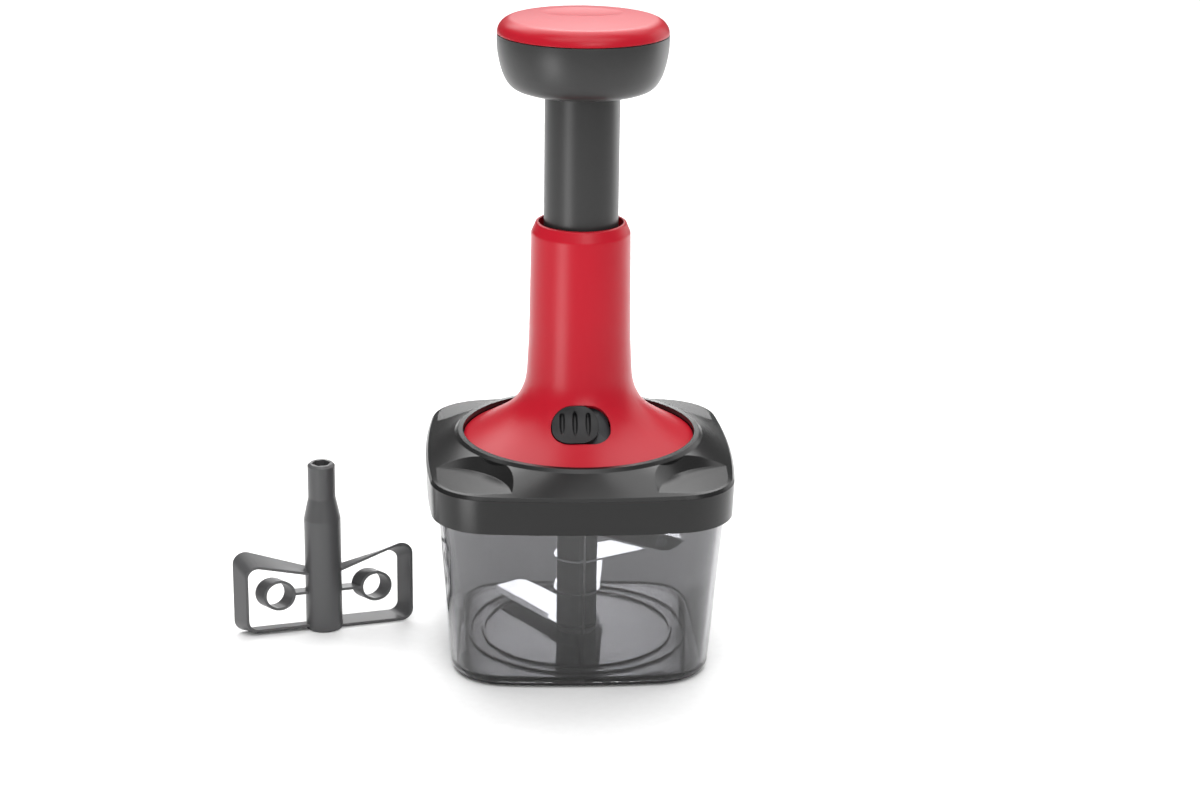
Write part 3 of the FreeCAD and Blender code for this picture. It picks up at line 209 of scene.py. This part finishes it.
# greys and blacks with the same kind of sheen, sharpest on the lid's near black
grey_abs = moulded("abs_dark_grey_moulded", "#2d2d2d", "#313131", 0.36, 0.42)
lid_abs = moulded("abs_anthracite_moulded", "#101010", "#131313", 0.245, 0.40)
paddle_abs = moulded("abs_slate_moulded", "#484849", "#505051", 0.34, 0.5)
hub_abs = moulded("abs_grey_moulded", "#7b7b7c", "#838385", 0.36)
black_abs = moulded("abs_black_moulded", "#1b1b1c", "#202021", 0.36)
plate_abs = moulded("abs_mid_grey_moulded", "#2a2b2d", "#323336", 0.36)
# waxier and duller than the ABS round it
cover_pp = moulded("pp_grey_moulded", "#4a4b4d", "#535456", 0.42)
# milky and matt, without a clear highlight
seal_silicone = moulded("silicone_white_moulded", "#d6d6d2", "#e0e0dc", 0.60)
# soft black that hardly shines
band_tpe = moulded("tpe_black_moulded", "#1c1c1e", "#242427", 0.58)
# warm white, slippery looking
natural_pom = moulded("pom_natural_turned", "#d9d7cf", "#e6e4dd", 0.38)
# see-through, with a grey tint that is painted shade inside the bowl
clear_san = san_clear("san_clear_shade_tinted")
# bright and nearly a mirror, finely streaked
blade_steel = steel("stainless_steel_ground", "#e2e3e5", "#f4f5f6", 0.11)
# cool and bluish, half dull
bright_steel = steel("steel_zinc_plated", "#a9adb2", "#c9cdd2", 0.30, 0.3)
# darker wire with drawing marks
spring_steel = steel("spring_steel_drawn", "#8c9094", "#a6aaae", 0.28, 0.3)

FINISHES = {
    red_abs: ("housing", "knob_cap"),
    lid_abs: ("lid",),
    grey_abs: ("plunger_tube", "knob_shell", "drive_bit"),
    paddle_abs: ("mixing_paddle",),
    hub_abs: ("blade_shaft", "hub_spacers", "hub_nut"),
    black_abs: ("lock_slider",),
    plate_abs: ("lock_backplate",),
    cover_pp: ("lid_cover",),
    seal_silicone: ("seal",),
    band_tpe: ("foot_band",),
    natural_pom: ("spiral_rod", "rod_cap", "spiral_nut", "guide_bush", "shaft_bush"),
    clear_san: ("bowl",),
    blade_steel: ("blade_1", "blade_2", "blade_3", "blade_4"),
    bright_steel: ("pivot_pin", "nut_pins", "spring_seat", "thrust_washer", "lock_bolt",
                   "knob_screw", "bit_screw", "bolt_screw", "cover_screws", "housing_screws"),
    spring_steel: ("return_spring",),
}
for finish, members in FINISHES.items():
    for member in members:
        mesh = nodes[member].data
        mesh.materials.clear()
        mesh.materials.append(finish)


def closing_spring():
    """The return spring again, as a piece of its own that is carried with the lid; the original is
    hidden.
    """
    spring = put_in_scene("return_spring_coils", nodes["return_spring"].data.copy())
    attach(spring, "lid")
    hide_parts("return_spring")
    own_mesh(spring)


closing_spring()


# ---- studio -------------------------------------------------------------
def paper_floor():
    """Matt white paper under the chopper, hardly mottled. Its fibres are finer
    than a pixel, so they are drawn coarser."""
    material, tree = new_material("paper_white_matt")
    place = add(tree, "ShaderNodeTexCoord").outputs["Object"]
    fibre = add(tree, "ShaderNodeTexNoise", {
        "Vector": place, "Scale": per_metre(FIBRE_MM), "Detail": 2.0})
    tone = add(tree, "ShaderNodeMix", {
        "Factor": fibre.outputs[0], 6: linear("#f7f7f7"), 7: linear("#ffffff")}, data_type="RGBA")
    shader = add(tree, "ShaderNodeBsdfPrincipled", {
        "Base Color": tone.outputs[2], "Roughness": 0.9})
    add(tree, "ShaderNodeOutputMaterial", {"Surface": shader.outputs[0]})
    half, level = FLOOR_HALF, -FLOOR_DROP_MM * MM
    mesh = bpy.data.meshes.new("floor")
    ring = ((-half, -half), (half, -half), (half, half), (-half, half))
    corners = [(x, y, level) for x, y in ring]
    mesh.from_pydata(corners, [], [(0, 1, 2, 3)])
    mesh.materials.append(material)
    floor = put_in_scene("floor", mesh)


def soft_box(name, place, aim, width, height, radiance, spread):
    """Area light of a given brightness, with a grid that narrows its spread; the
    camera itself doesn't see it."""
    light = bpy.data.lights.new(name, "AREA")
    light.shape, light.size, light.size_y = "RECTANGLE", width, height
    light.spread = math.radians(spread)
    half = light.spread / 2
    grid = 1 - half / math.tan(half)
    light.energy = math.pi * width * height * radiance * grid
    holder = put_in_scene(name, light)
    holder.location = place
    holder.rotation_euler = (Vector(aim) - Vector(place)).to_track_quat("-Z", "Y").to_euler()
    holder.visible_camera = False


def studio():
    """Surround that is dim behind, so that the lid's dark top stays dark, and
    brighter everywhere else, with soft boxes for the main light."""
    world = bpy.data.worlds.new("white_studio")
    bpy.context.scene.world = world
    world.use_nodes = True
    tree = world.node_tree
    tree.nodes.clear()
    way = add(tree, "ShaderNodeTexCoord").outputs["Generated"]
    sides = add(tree, "ShaderNodeSeparateXYZ", {"Vector": way})
    level = add(tree, "ShaderNodeMapRange", {
        "Value": sides.outputs[1], "From Min": 0.0, "From Max": WORLD_TURN,
        "To Min": WORLD_FRONT, "To Max": WORLD_BACK}, interpolation_type="SMOOTHSTEP")
    glow = add(tree, "ShaderNodeBackground", {
        "Color": (1.0, 1.0, 1.0, 1.0), "Strength": level.outputs[0]})
    add(tree, "ShaderNodeOutputWorld", {"Surface": glow.outputs[0]})
    for box in SOFT_BOXES:
        soft_box(*box)
    bpy.context.scene.view_settings.view_transform = "Standard"


def camera():
    """Standing a metre in front, looking down on the lid."""
    ahead, right = Vector(CAMERA_AHEAD), Vector(CAMERA_RIGHT)
    up = right.cross(ahead)
    turn = Matrix((right, up, -ahead)).transposed().to_4x4()
    data = bpy.data.cameras.new("camera")
    data.sensor_width, data.lens = SENSOR_MM, SENSOR_MM * FOCAL_PIXELS / IMAGE_WIDTH
    data.clip_start, data.clip_end = CLIP_NEAR, CLIP_FAR
    holder = put_in_scene("camera", data)
    holder.matrix_world = Matrix.Translation(Vector(CAMERA_MM) * MM) @ turn
    bpy.context.scene.camera = holder


paper_floor()
studio()
camera()
